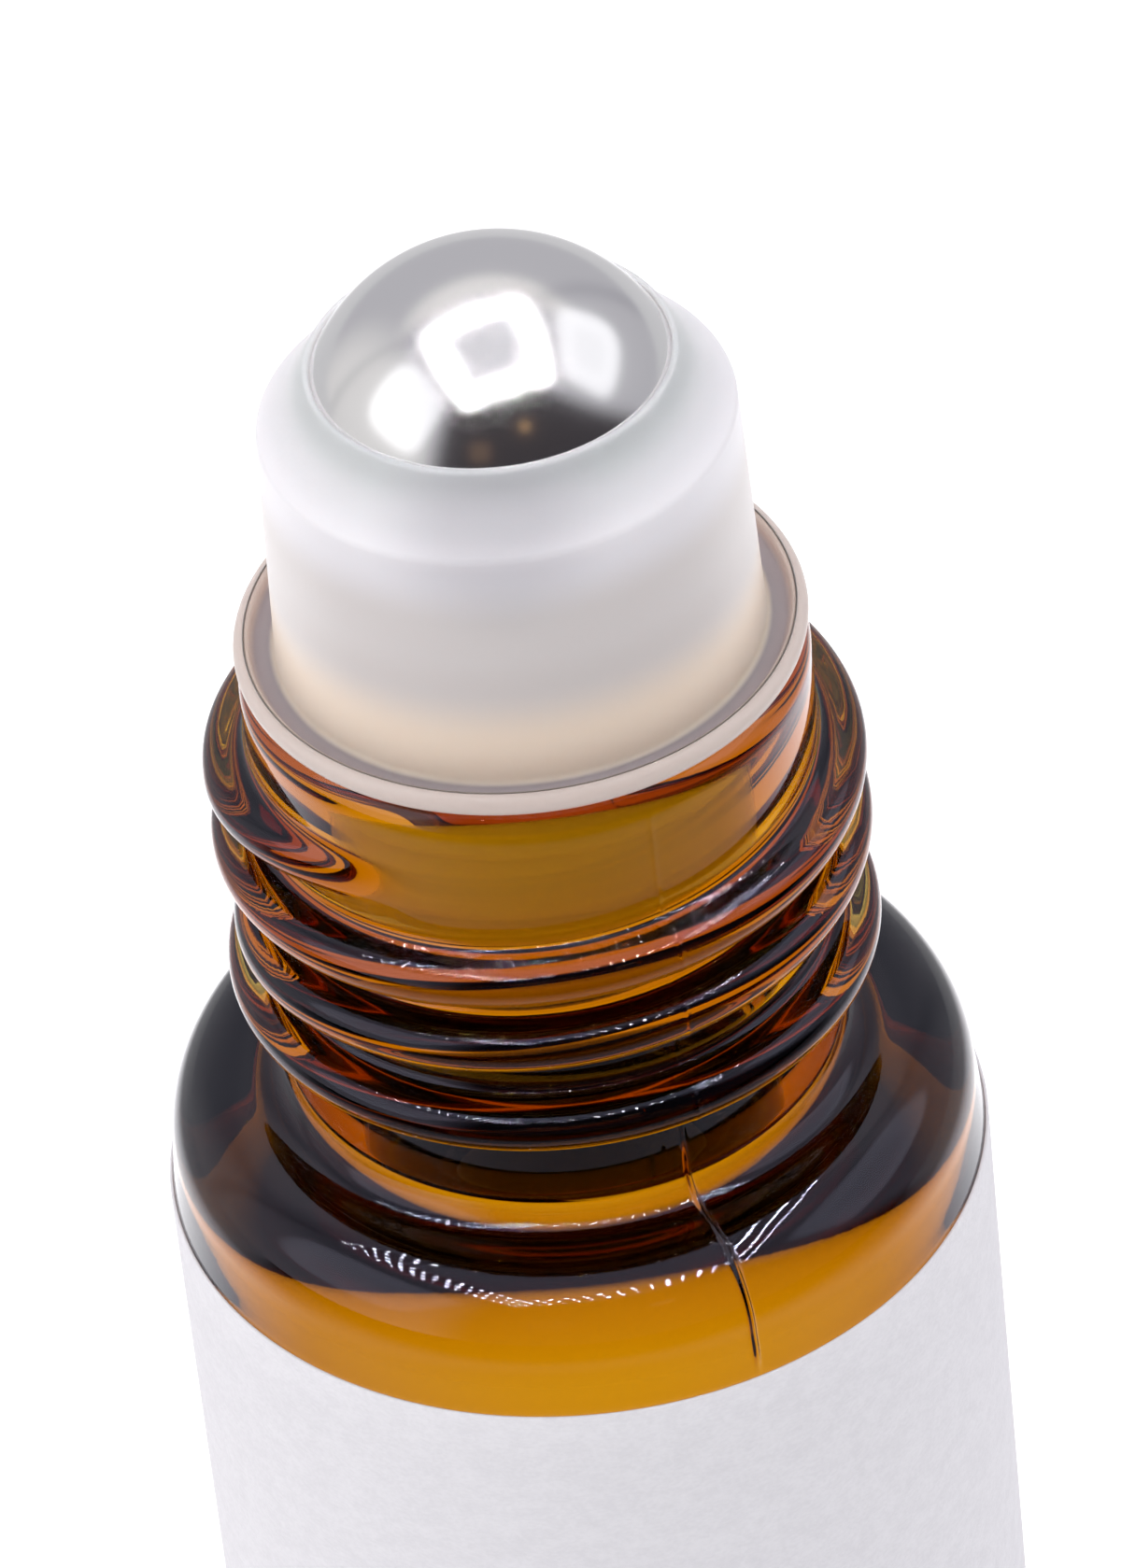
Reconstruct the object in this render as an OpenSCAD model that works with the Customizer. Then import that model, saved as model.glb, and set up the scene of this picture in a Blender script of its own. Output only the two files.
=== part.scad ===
// Roll-on bottle of 10 ml: a moulded glass bottle, a pressed-in roller fitment with
// its ball, and a wrap-around paper label. The neck's thread is left off.
// The bottle stands on z = 0 with its axis on Z. The front faces -Y.

/* [Glass body] */
// Outside diameter of the body
body_d = 20; // [20:0.5:32]
// Height of the glass from its base to the rim
bottle_h = 73; // [68:1:120]
// Thickness of the side wall
wall_t = 1.8; // [1:0.1:2.2]
// Thickness of the bottom over the foot ring
base_t = 3; // [2.2:0.1:6]
// Rounding of the heel between side and foot
heel_r = 1.6; // [0.8:0.1:2]
// Diameter of the hollow under the bottom, inside the foot ring
punt_d = 12; // [8:0.5:14]
// Depth of that hollow at its middle
punt_h = 0.7; // [0.3:0.1:1.2]
// Rounding where the inside of the body turns into the bottom
floor_r = 2; // [1:0.1:4]

/* [Shoulder] */
// Rounding of the shoulder's outer corner
shoulder_r = 2; // [1.2:0.1:2.1]
// How much the radius draws in just below the shoulder corner
shoulder_draft = 0.15; // [0.05:0.05:0.4]
// Height over which it draws in
shoulder_draft_h = 1.3; // [0.6:0.1:3]
// Glass thickness from the inner shoulder to the top of the outer one
shoulder_t = 2; // [1.4:0.1:3]
// Rounding of the inner edge where the shoulder turns into the bore
mouth_r = 1; // [0.5:0.1:1.5]

/* [Screw neck] */
// Height of the neck from the shoulder to the rim
neck_h = 12.6; // [11:0.1:16]
// Diameter of the neck's plain wall
neck_d = 13.6; // [13:0.1:13.9]
// Bore of the neck
bore_d = 10.2; // [9.6:0.1:10.8]
// Rounding of the rim's outer edge
rim_r = 0.7; // [0.4:0.1:1]
// Hollow rounding between shoulder and neck
neck_root_r = 0.9; // [0.4:0.1:1]
// How far the closed bead low on the neck stands out of it
bead_h = 1.1; // [0.7:0.1:1.2]
// Radius of the bead's round back
bead_r = 0.8; // [0.7:0.05:0.9]
// Distance from the rim down to the middle of the bead
bead_drop = 9.05; // [8.8:0.05:9.4]

/* [Roller fitment] */
// Length of the plug inside the neck
plug_l = 7.5; // [5:0.5:9]
// Gap between the plug's wall and the bore
plug_gap = 0.15; // [0.1:0.05:0.3]
// Wall of the plug
plug_t = 1; // [0.7:0.1:1.3]
// Gap left between the sealing ribs and the bore
rib_gap = 0.01; // [0.005:0.005:0.02]
// Radius of a sealing rib's back
rib_r = 0.4; // [0.3:0.05:0.5]
// Number of sealing ribs along the plug
rib_count = 3; // [1:1:4]
// How far the plug's lower end draws in, so that it starts easily
lead_in = 0.4; // [0.2:0.1:0.6]
// Height over which it draws in
lead_in_h = 0.8; // [0.4:0.1:1]
// Diameter of the flange that sits on the glass rim
flange_d = 13.64; // [13.2:0.02:14.4]
// Thickness of the flange at its edge
flange_t = 0.6; // [0.5:0.05:0.9]
// Width of the raised edge of the flange
flange_edge_w = 0.5; // [0.35:0.05:0.6]
// Depth of the groove between that edge and the barrel
flange_groove = 0.32; // [0.1:0.02:0.4]
// Height of the barrel from the glass rim to its upper corner
barrel_h = 6.7; // [6.2:0.1:9]
// Wall of the barrel beside the ball
barrel_t = 0.8; // [0.6:0.05:1.1]
// Extra radius of the barrel at its foot
barrel_draft = 0.25; // [0.1:0.05:0.4]
// Rounding of the barrel's upper corner
barrel_corner_r = 0.3; // [0.2:0.05:0.4]
// Rise of the sloping top from that corner to the lip
dome_h = 0.9; // [0.6:0.05:1]
// Thickness of the lip that holds the ball in
lip_t = 0.5; // [0.4:0.05:0.6]
// How much of the lip's round back the cup cuts flat
lip_land = 0.05; // [0.02:0.01:0.1]
// Angle of the lip above the middle of the ball
lip_angle = 24; // [21:1:28]
// Thickness of the seat under the ball
seat_t = 0.95; // [0.7:0.05:1.2]
// Hole that feeds the ball
feed_d = 5.8; // [4:0.2:6.4]
// Number of flow grooves in the seat
groove_count = 4; // [3:1:6]
// Width of a flow groove
groove_w = 0.8; // [0.5:0.1:1]
// Depth of a flow groove
groove_h = 0.35; // [0.2:0.05:0.5]

/* [Ball] */
// Diameter of the steel ball
ball_d = 9.5; // [9:0.1:9.8]
// Running gap between the ball and its seat
ball_gap = 0.08; // [0.04:0.01:0.1]
// Distance from the barrel's corner down to the middle of the ball
ball_drop = 0.63; // [0.4:0.01:0.8]

/* [Label] */
// Height of the label
label_h = 50; // [20:1:52]
// Thickness of the paper
label_t = 0.09; // [0.06:0.01:0.2]
// Bare strip of glass between the label's two ends, at the back
label_gap = 20; // [1:0.5:30]

/* [Hidden] */
// Overrun of a cut past the surface that it opens
over = 1;
$fn = 96;

body_r = body_d / 2;
inner_r = body_r - wall_t;
neck_r = neck_d / 2;
bore_r = bore_d / 2;
punt_r = punt_d / 2;
shoulder_z = bottle_h - neck_h;
corner_z = shoulder_z - shoulder_r;
drawn_z = corner_z - shoulder_draft_h;
drawn_r = body_r - shoulder_draft;
// Radius of the sphere that hollows the bottom through the foot ring's inner edge
punt_sphere_r = (punt_r ^ 2 + punt_h ^ 2) / (2 * punt_h);

mouth_z = shoulder_z - shoulder_t;
inner_corner_r = inner_r - bore_r - mouth_r;

bead_mid_r = neck_r + bead_h - bead_r;
bead_z = bottle_h - bead_drop;

ball_r = ball_d / 2;
cup_r = ball_r + ball_gap;
ball_z = barrel_h - ball_drop;
plug_r = bore_r - plug_gap;
hollow_r = plug_r - plug_t;
flange_r = flange_d / 2;
barrel_r = cup_r + barrel_t;
barrel_foot_r = barrel_r + barrel_draft;
rib_pitch = plug_l / (rib_count + 1);
lip_reach = cup_r + lip_t / 2 - lip_land;
lip_r = lip_reach * cos(lip_angle);
lip_z = ball_z + lip_reach * sin(lip_angle);
lip_out_r = lip_r + lip_t / 2;
feed_r = feed_d / 2;

label_z = drawn_z - label_h;
label_gap_angle = label_gap / body_r * 180 / PI;

// Quarter of a disc, with its corner at the origin
module quarter(r) {
    intersection() {
        circle(r);
        square(r);
    }
}

// What a hollow rounding of radius r leaves in a square corner at the origin
module hollow_corner(r) {
    difference() {
        square(r);
        translate([r, r]) circle(r);
    }
}

// Half of the bottle's outer section, with the bead round its neck
module glass_outline() {
    translate([0, heel_r]) square([body_r, drawn_z - heel_r]);
    square([body_r - heel_r, heel_r]);
    translate([body_r - heel_r, heel_r]) mirror([0, 1]) quarter(heel_r);
    polygon([[0, drawn_z], [body_r, drawn_z], [drawn_r, corner_z], [0, corner_z]]);
    translate([0, corner_z]) square([drawn_r - shoulder_r, shoulder_r]);
    translate([drawn_r - shoulder_r, corner_z]) quarter(shoulder_r);
    translate([0, shoulder_z]) square([neck_r, neck_h - rim_r]);
    translate([neck_r, shoulder_z]) hollow_corner(neck_root_r);
    translate([0, bottle_h - rim_r]) square([neck_r - rim_r, rim_r]);
    translate([neck_r - rim_r, bottle_h - rim_r]) quarter(rim_r);
    translate([bead_mid_r, bead_z]) circle(bead_r);
}

// Half of the hollow inside the bottle, open at the rim
module hollow_outline() {
    low_z = base_t + floor_r;
    top_z = mouth_z - inner_corner_r;
    translate([0, low_z]) square([inner_r, top_z - low_z]);
    translate([0, base_t]) square([inner_r - floor_r, floor_r]);
    translate([inner_r - floor_r, low_z]) mirror([0, 1]) quarter(floor_r);
    translate([0, top_z]) square([inner_r - inner_corner_r, inner_corner_r]);
    translate([inner_r - inner_corner_r, top_z]) quarter(inner_corner_r);
    translate([0, mouth_z]) square([bore_r, bottle_h - mouth_z + over]);
    translate([bore_r, mouth_z]) hollow_corner(mouth_r);
}

module bottle() {
    color([0.42, 0.2, 0.03])
        difference() {
            rotate_extrude() glass_outline();
            rotate_extrude() hollow_outline();
            translate([0, 0, punt_h - punt_sphere_r]) sphere(punt_sphere_r);
        }
}

// Half of the fitment's outer section. Its zero is the glass rim.
module fitment_outline() {
    edge_r = flange_t / 2;
    groove_z = flange_t - flange_groove;
    polygon([[0, -plug_l], [plug_r - lead_in, -plug_l], [plug_r, lead_in_h - plug_l], [plug_r, 0], [0, 0]]);
    for (i = [1:rib_count])
        translate([bore_r - rib_gap - rib_r, -i * rib_pitch]) circle(rib_r);
    square([flange_r - edge_r, groove_z]);
    translate([flange_r - flange_edge_w, 0]) square([flange_edge_w - edge_r, flange_t]);
    translate([flange_r - edge_r, edge_r]) circle(edge_r);
    barrel_outline();
    translate([0, barrel_h]) square([lip_out_r, lip_z - barrel_h]);
    translate([lip_r, lip_z]) circle(lip_t / 2);
}

// Half of the barrel: a drawn-in wall, a rounded corner and a sloping top up to the lip
module barrel_outline() {
    wall_lean = atan(barrel_draft / barrel_h);
    slope_lean = atan((barrel_r - lip_out_r) / dome_h);
    // Middle of the corner's round, which touches both straight lines
    lean = (slope_lean + wall_lean) / 2;
    reach = barrel_corner_r / cos((slope_lean - wall_lean) / 2);
    mid = [barrel_r - reach * cos(lean), barrel_h - reach * sin(lean)];
    wall_end = mid + barrel_corner_r * [cos(wall_lean), sin(wall_lean)];
    slope_start = mid + barrel_corner_r * [cos(slope_lean), sin(slope_lean)];
    polygon([
        [0, 0], [barrel_foot_r, 0], wall_end, mid, slope_start,
        [lip_out_r, barrel_h + dome_h], [0, barrel_h + dome_h]
    ]);
    translate(mid) circle(barrel_corner_r);
}

// Half of the space inside the fitment: the cup, the feed hole and the plug's hollow
module fitment_hollow() {
    translate([0, ball_z]) circle(cup_r);
    translate([0, -plug_l - over]) square([feed_r, ball_z + plug_l]);
    difference() {
        translate([0, -plug_l - over]) square([hollow_r, ball_z + plug_l]);
        translate([0, ball_z]) circle(cup_r + seat_t);
    }
}

// A flow groove: a slice of a flat ring about the ball's middle, from the feed hole
// up to the height of that middle
module flow_groove() {
    rotate([90, 0, 0])
        rotate([0, 0, -90])
            linear_extrude(groove_w, center = true)
                difference() {
                    quarter(cup_r + groove_h);
                    quarter(ball_r - groove_h);
                }
}

module roller_housing() {
    color([0.88, 0.87, 0.88, 0.85])
        translate([0, 0, bottle_h])
            difference() {
                rotate_extrude()
                    difference() {
                        fitment_outline();
                        fitment_hollow();
                    }
                for (i = [0:groove_count - 1])
                    translate([0, 0, ball_z]) rotate([0, 0, i * 360 / groove_count]) flow_groove();
            }
}

module ball() {
    color([0.62, 0.62, 0.63])
        translate([0, 0, bottle_h + ball_z]) sphere(ball_r);
}

module label() {
    color([0.9, 0.89, 0.91])
        translate([0, 0, label_z])
            rotate([0, 0, 90 + label_gap_angle / 2])
                rotate_extrude(angle = 360 - label_gap_angle)
                    translate([body_r, 0]) square([label_t, label_h]);
}

bottle();
roller_housing();
ball();
label();
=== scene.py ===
import math

import bpy
import numpy as np
from mathutils import Matrix, Vector


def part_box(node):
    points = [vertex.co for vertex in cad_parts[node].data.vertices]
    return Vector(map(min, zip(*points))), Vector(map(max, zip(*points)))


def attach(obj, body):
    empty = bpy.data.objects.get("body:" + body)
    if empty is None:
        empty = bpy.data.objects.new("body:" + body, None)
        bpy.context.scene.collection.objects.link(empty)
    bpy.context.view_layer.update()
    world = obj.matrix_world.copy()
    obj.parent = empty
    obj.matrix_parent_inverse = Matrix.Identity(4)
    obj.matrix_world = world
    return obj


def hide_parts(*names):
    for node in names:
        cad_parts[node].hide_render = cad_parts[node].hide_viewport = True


bl_info = {
    "name": "Roll-on bottle",
    "version": (1, 0, 0),
    "blender": (4, 5, 0),
    "location": "3D View > Sidebar > Roll-on bottle",
    "description": "An amber glass roll-on bottle with its fitment, ball and label, in a light tent",
    "category": "Add Mesh",
}

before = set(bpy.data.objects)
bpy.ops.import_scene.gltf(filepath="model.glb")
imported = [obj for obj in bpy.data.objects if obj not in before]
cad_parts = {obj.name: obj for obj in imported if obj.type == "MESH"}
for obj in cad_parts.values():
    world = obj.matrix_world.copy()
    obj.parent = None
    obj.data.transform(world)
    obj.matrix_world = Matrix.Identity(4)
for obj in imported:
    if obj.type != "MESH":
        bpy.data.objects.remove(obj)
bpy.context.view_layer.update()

MM = 0.001
BOUNCES = 24

# Sizes that the frame gives
GLASS_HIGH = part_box("bottle")[1]
HOUSING_LOW, HOUSING_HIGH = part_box("roller_housing")
BALL_LOW, BALL_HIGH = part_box("ball")
LABEL_LOW, LABEL_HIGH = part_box("label")
RIM_Z = GLASS_HIGH.z
BALL_Z = (BALL_LOW.z + BALL_HIGH.z) / 2
BALL_R = (BALL_HIGH.z - BALL_LOW.z) / 2

# Columns of points round each surface
GLASS_COLUMNS, FITMENT_COLUMNS, BALL_COLUMNS, LABEL_COLUMNS, FLOOR_COLUMNS = 240, 256, 192, 301, 96
BALL_ROWS = 112


def length(name, description, millimetres):
    """A property that holds a length, given here in millimetres."""
    return bpy.props.FloatProperty(
        name=name, description=description, default=millimetres * MM, min=0, precision=5, unit="LENGTH"
    )


def degrees(name, description, default):
    """A property that holds an angle, given here in degrees."""
    return bpy.props.FloatProperty(
        name=name, description=description, default=math.radians(default), subtype="ANGLE"
    )


def number(name, description, default):
    """A property that holds a plain number."""
    return bpy.props.FloatProperty(name=name, description=description, default=default, precision=3)


def colour(name, description, default):
    """A property that holds a colour."""
    return bpy.props.FloatVectorProperty(
        name=name, description=description, default=default, subtype="COLOR", size=3, min=0, max=1
    )


class RollonGlassSizes(bpy.types.PropertyGroup):
    """Sizes of the glass bottle, upwards from its foot and down again inside."""

    wall: length("Side wall", "Thickness of the side wall", 1.8)
    base: length("Bottom", "Thickness of the bottom over the foot ring", 3)
    heel: length("Heel", "Rounding between side and foot", 1.6)
    punt_r: length("Push-up radius", "Radius of the hollow under the bottom", 6)
    punt_h: length("Push-up height", "Depth of the hollow under the bottom", 0.7)
    floor_round: length("Inner heel", "Rounding of the inside's lower corner", 2)
    shoulder_round: length("Shoulder", "Rounding of the shoulder's outer corner", 2)
    draft: length("Draw-in", "How far the side draws in below the shoulder", 0.15)
    draft_h: length("Draw-in height", "Height over which the side draws in", 1.3)
    shoulder_t: length("Shoulder thickness", "Glass under the top of the shoulder", 2)
    mouth_round: length("Inner shoulder edge", "Rounding from the inner shoulder to the bore", 1)
    neck_h: length("Neck height", "Height of the neck from the shoulder to the rim", 12.6)
    neck_r: length("Neck radius", "Radius of the neck's plain wall", 6.8)
    bore_r: length("Bore radius", "Radius of the neck's bore", 5.1)
    root_round: length("Neck root", "Hollow rounding between shoulder and neck", 0.9)
    rim_round: length("Rim", "Rounding of the rim's outer edge", 0.8)
    lip_round: length("Bore edge", "Rounding of the rim's inner edge", 0.25)
    bead_drop: length("Bead", "Distance from the rim down to the closed bead", 9.05)
    ridge_h: length("Ridge height", "How far the thread and the bead stand out", 1.11)
    ridge_crest: length("Ridge back", "Rounding of their crests", 0.58)
    ridge_foot: length("Ridge foot", "Hollow rounding at their feet", 0.34)
    ridge_draft: degrees("Ridge draft", "How far their sides lean", 8)
    thread_drop: length("Thread start", "Distance from the rim down to the thread's start", 7)
    thread_from: degrees("Thread from", "Angle round the neck at which the thread starts", 180)
    pitch: length("Pitch", "Rise of the thread in one turn", 2)
    fade_in: degrees("Fade in", "Where the thread begins to stand out", 125)
    full_from: degrees("Full from", "Where it has its full height", 215)
    full_to: degrees("Full to", "Where it begins to sink", 905)
    fade_out: degrees("Fade out", "Where it has sunk into the wall", 966)
    seam_at: degrees("Mould seam", "Angle of one mould seam, with the other opposite", 291.5)
    seam_h: length("Seam height", "How far the mould seam stands out", 0.12)
    seam_w: length("Seam width", "Half the width of the mould seam", 0.07)
    fill_drop: length("Fill", "Distance from the rim down to the liquid's surface", 12.9)
    climb: length("Climb", "How far the liquid climbs up the bore", 0.1)
    climb_reach: length("Climb reach", "How far from the bore it does so", 0.3)
    overlap: length("Overlap", "How far the liquid reaches into the glass", 0.01)
    wave: length("Waviness", "How uneven the glass is outside", 0.006)
    inner_wave: length("Inner waviness", "How uneven the glass is inside", 0.05)


class RollonFitmentSizes(bpy.types.PropertyGroup):
    """Sizes of the roller fitment, which is one moulding."""

    plug_gap: length("Plug gap", "Gap between the plug and the bore", 0.15)
    plug_t: length("Plug wall", "Wall of the plug", 1)
    rib_gap: length("Rib gap", "Gap between a sealing rib and the bore", 0.01)
    rib_round: length("Rib", "Rounding of a sealing rib's back", 0.4)
    rib_count: bpy.props.IntProperty(name="Ribs", description="Number of sealing ribs", default=3)
    lead_in: length("Lead-in", "How far the plug's lower end draws in", 0.4)
    lead_in_h: length("Lead-in height", "Height over which it draws in", 0.8)
    flange_t: length("Flange", "Thickness of the flange at its edge", 0.6)
    edge_w: length("Flange edge", "Width of the flange's raised edge", 0.39)
    groove: length("Groove", "Depth of the groove inside that edge", 0.3)
    groove_round: length("Groove corners", "Rounding of the groove's edges", 0.15)
    barrel_h: length("Barrel height", "Height of the barrel's upper corner over the rim", 6.7)
    barrel_t: length("Barrel wall", "Wall of the barrel beside the ball", 0.8)
    barrel_draft: length("Barrel draft", "Extra radius at the barrel's foot", 0.2)
    corner: length("Barrel corner", "Rounding of the barrel's upper corner", 0.28)
    dome_dip: length("Dome dip", "How far the sloping top is hollow", 0.13)
    lip_top: length("Lip", "Height over the rim of the lip that holds the ball", 8.35)
    lip_round: length("Lip round", "Rounding of the lip's outer side", 0.12)
    lip_edge: length("Lip edge", "Rounding of the lip's inner edge", 0.06)
    lip_gap: length("Lip gap", "Gap between the ball and the lip's edge", 0.012)
    ball_gap: length("Ball gap", "Running gap between the ball and its seat", 0.08)
    seat_t: length("Seat", "Thickness of the seat under the ball", 0.95)
    feed_r: length("Feed hole", "Radius of the hole that feeds the ball", 2.9)
    flow_count: bpy.props.IntProperty(name="Flow grooves", description="Grooves in the seat", default=4)
    flow_w: length("Flow groove width", "Width of a groove in the seat", 0.8)
    flow_h: length("Flow groove depth", "Depth of a groove in the seat", 0.3)


class RollonLabelSizes(bpy.types.PropertyGroup):
    """Sizes of the paper label."""

    glue: length("Glue line", "Gap between the paper and the glass", 0.004)
    uneven: length("Cut edge", "How uneven the upper cut edge is", 0.035)


class RollonFinishes(bpy.types.PropertyGroup):
    """Colours and finishes of the four materials, and the level of the light."""

    amber: colour("Amber", "Colour that sets which light the glass takes", (0.923, 0.818, 0.2))
    amber_depth: number("Amber depth", "Strength of the glass's colour, per metre", 2000)
    plastic: colour("Barrel", "Colour of the fitment's barrel", (0.77, 0.75, 0.785))
    # The lower barrel's darker tone is painted shade
    plastic_low_painted_shade: colour("Low barrel", "Colour of the barrel's lower half", (0.63, 0.59, 0.58))
    # The barrel foot's warm tone is painted amber light from the glass below
    plastic_foot_painted_amber_light: colour("Barrel foot", "Warm colour of the barrel over the glass", (0.82, 0.70, 0.59))
    # The plug's white plastic, made brighter than the barrel as painted light for the light that reaches
    # it through the glass
    plastic_plug_with_painted_light: colour("Plug", "Colour of the plug inside the glass", (0.99, 0.96, 0.93))
    # The flange edge's darker warm tone is painted shade and painted amber light from the glass under it
    plastic_flange_painted_shade_and_amber: colour("Flange", "Colour of the flange's raised edge", (0.53, 0.46, 0.43))
    # The groove's dark tone is painted shade in the recess
    plastic_groove_painted_shade: colour("Groove", "Colour of the groove inside that edge", (0.35, 0.31, 0.33))
    # The darker tone over the thin lip in front of the ball is painted shade of the ball
    plastic_lip_painted_ball_shade: colour("Thin plastic", "Colour where it is thin over the ball", (0.46, 0.45, 0.48))
    # The pale tone round the ball is painted light
    plastic_top_painted_light: colour("Lip plastic", "Colour of the plastic round the ball", (0.98, 0.89, 0.97))
    # The darker tone in front of the seat is painted shade of the seat and ball inside
    plastic_seat_painted_shade: colour("Seat plastic", "Colour in front of the ball's seat", (0.655, 0.62, 0.615))
    plastic_depth: length("Plastic depth", "How far light travels in the plastic", 1.3)
    steel: colour("Steel", "Colour of the ball", (0.76, 0.76, 0.77))
    steel_rough: number("Steel roughness", "How far the ball blurs what it mirrors", 0.175)
    paper: colour("Paper", "Colour of the label", (0.79, 0.78, 0.815))
    tent: number("Tent light", "Level of the light tent", 1.38)


GROUPS = {
    "rollon_glass": RollonGlassSizes,
    "rollon_fitment": RollonFitmentSizes,
    "rollon_label": RollonLabelSizes,
    "rollon_finishes": RollonFinishes,
}


def line(start, end, steps=1):
    """Points start + (end - start) * t of a straight stretch, with t from 0 to 1 in equal steps."""
    share = np.linspace(0, 1, steps + 1)[:, None]
    return np.array(start) + (np.array(end) - np.array(start)) * share


def arc(centre, radius, start, end, steps):
    """Points centre + radius * (cos a, sin a) of a round stretch, with a between two angles in degrees."""
    angle = np.radians(np.linspace(start, end, steps + 1))
    return np.array(centre) + radius * np.column_stack((np.cos(angle), np.sin(angle)))


def outline(*stretches):
    """The stretches one after the other, each without its first point where the last one ended."""
    points = np.concatenate(stretches)
    step = np.linalg.norm(np.diff(points, axis=0), axis=1)
    return points[np.concatenate(([True], step > 1e-4 * MM))]


def smooth(value, low, high):
    """0 below low and 1 above high, with t * t * (3 - 2 t) between them."""
    share = np.clip((value - low) / (high - low), 0, 1)
    return share * share * (3 - 2 * share)


def normals_of(points):
    """Unit vectors square to an outline, to its right as it runs, which is out of the solid."""
    along = np.gradient(points, axis=0)
    along /= np.linalg.norm(along, axis=1)[:, None]
    return np.column_stack((along[:, 1], -along[:, 0]))


def put_in_mesh(name, points, *faces):
    """A smooth mesh object from an array of points and arrays of faces that name their corners."""
    mesh = bpy.data.meshes.new(name)
    mesh.from_pydata(points, [], [corners for part in faces for corners in part.tolist()])
    mesh.validate()
    mesh.shade_smooth()
    piece = bpy.data.objects.new(name, mesh)
    bpy.context.scene.collection.objects.link(piece)
    return piece


def grid_faces(rows, columns, wrap_rows, wrap_columns):
    """Quads of a grid whose points are numbered row by row. A wrapped direction joins its last points
    to its first."""
    point = np.arange(rows * columns).reshape(rows, columns)
    if wrap_rows:
        point = np.concatenate((point, point[:1]))
    if wrap_columns:
        point = np.concatenate((point, point[:, :1]), axis=1)
    corners = (point[:-1, :-1], point[:-1, 1:], point[1:, 1:], point[1:, :-1])
    return np.stack(corners, axis=-1).reshape(-1, 4)


def fan(middle, rim):
    """Triangles from one point to each pair of neighbours on a closed rim of points."""
    return np.column_stack((rim, np.roll(rim, -1), np.full(len(rim), middle)))


def lathed(name, r, z, angles, on_axis):
    """A turned surface: the point of row i and column j is (r cos a, r sin a, z) with r and z at (i, j).

    The rows follow the section with the solid on their left. If on_axis is true, the first and the
    last row lie on the axis and become one point each. Otherwise the last row joins the first."""
    turned = np.stack((r * np.cos(angles), r * np.sin(angles), z), axis=-1)
    columns = len(angles)
    if not on_axis:
        return put_in_mesh(name, turned.reshape(-1, 3), grid_faces(len(turned), columns, True, True))
    inner = turned[1:-1]
    points = np.concatenate((inner.reshape(-1, 3), turned[0, :1], turned[-1, :1]))
    first, last = len(points) - 2, len(points) - 1
    rim = np.arange(columns)
    low, high = fan(first, rim)[:, ::-1], fan(last, first - columns + rim)
    return put_in_mesh(name, points, grid_faces(len(inner), columns, False, True), low, high)


def ridge_section(share, sizes):
    """How far a ridge stands out and how far it reaches along, at a share of the way over it.

    The share runs from -1 at one foot over 0 at the crest to 1 at the other foot, by length of arc:
    a round crest, a leaning flank and a hollow round foot on each side. Gives (out, along, reach),
    where reach is the distance from the crest to a foot."""
    crest, foot = sizes.ridge_crest, sizes.ridge_foot
    turn = math.pi / 2 - sizes.ridge_draft
    flank = (sizes.ridge_h - (crest + foot) * (1 - math.cos(turn))) / math.sin(turn)
    reach = (crest + foot) * math.sin(turn) + flank * math.cos(turn)
    total = (crest + foot) * turn + flank
    way = np.abs(share) * total
    past = way - crest * turn
    left = (total - way) / foot
    crest_end = sizes.ridge_h - crest * (1 - math.cos(turn))
    on = [way < crest * turn, past < flank]
    out = np.select(
        on,
        [sizes.ridge_h - crest * (1 - np.cos(way / crest)), crest_end - past * math.sin(turn)],
        foot * (1 - np.cos(left)),
    )
    along = np.select(
        on,
        [crest * np.sin(way / crest), crest * math.sin(turn) + past * math.cos(turn)],
        reach - foot * np.sin(left),
    )
    return out, np.sign(share) * along, reach


def neck_ridges(r, z, angles, sizes):
    """The plain neck wall (r, z) with the closed bead and the screw thread standing out of it.

    A turn of the thread has its crest at start + pitch * (angle - from) / 360 degrees, and sinks
    into the wall at both ends of the thread."""
    angle = angles[None, :]
    ridges = [(RIM_Z - sizes.bead_drop + 0 * angle, 1.0)]
    for turn in range(math.ceil(sizes.fade_out / (2 * math.pi))):
        way = angle + 2 * math.pi * turn
        rise = sizes.pitch * (way - sizes.thread_from) / (2 * math.pi)
        strength = smooth(way, sizes.fade_in, sizes.full_from)
        strength = strength * (1 - smooth(way, sizes.full_to, sizes.fade_out))
        ridges.append((RIM_Z - sizes.thread_drop + rise, strength))
    reach = ridge_section(np.zeros(1), sizes)[2]
    new_r, new_z = r.copy(), z.copy()
    for crest_z, strength in ridges:
        share = (z - crest_z) / reach
        out, along, _ = ridge_section(np.clip(share, -1, 1), sizes)
        inside = np.abs(share) < 1
        new_r += strength * out * inside
        new_z += strength * (along - share * reach) * inside
    return new_r, new_z


def glass_outer(sizes):
    """The bottle's outer section: push-up, foot ring, heel, side, shoulder, neck root and neck wall."""
    body_r = GLASS_HIGH.x
    shoulder_z = RIM_Z - sizes.neck_h
    corner_z = shoulder_z - sizes.shoulder_round
    drawn_r = body_r - sizes.draft
    drawn_z = corner_z - sizes.draft_h
    heel, punt, root = sizes.heel, sizes.punt_r, sizes.root_round
    push_r = (punt**2 + sizes.punt_h**2) / (2 * sizes.punt_h)
    half = math.degrees(math.asin(punt / push_r))
    return outline(
        arc((0, sizes.punt_h - push_r), push_r, 90, 90 - half, 10),
        line((punt, 0), (body_r - heel, 0), 4),
        arc((body_r - heel, heel), heel, -90, 0, 12),
        line((body_r, heel), (body_r, drawn_z), 12),
        line((body_r, drawn_z), (drawn_r, corner_z), 8),
        arc((drawn_r - sizes.shoulder_round, corner_z), sizes.shoulder_round, 0, 90, 28),
        line((drawn_r - sizes.shoulder_round, shoulder_z), (sizes.neck_r + root, shoulder_z), 2),
        arc((sizes.neck_r + root, shoulder_z + root), root, -90, -180, 14),
    )


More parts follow.
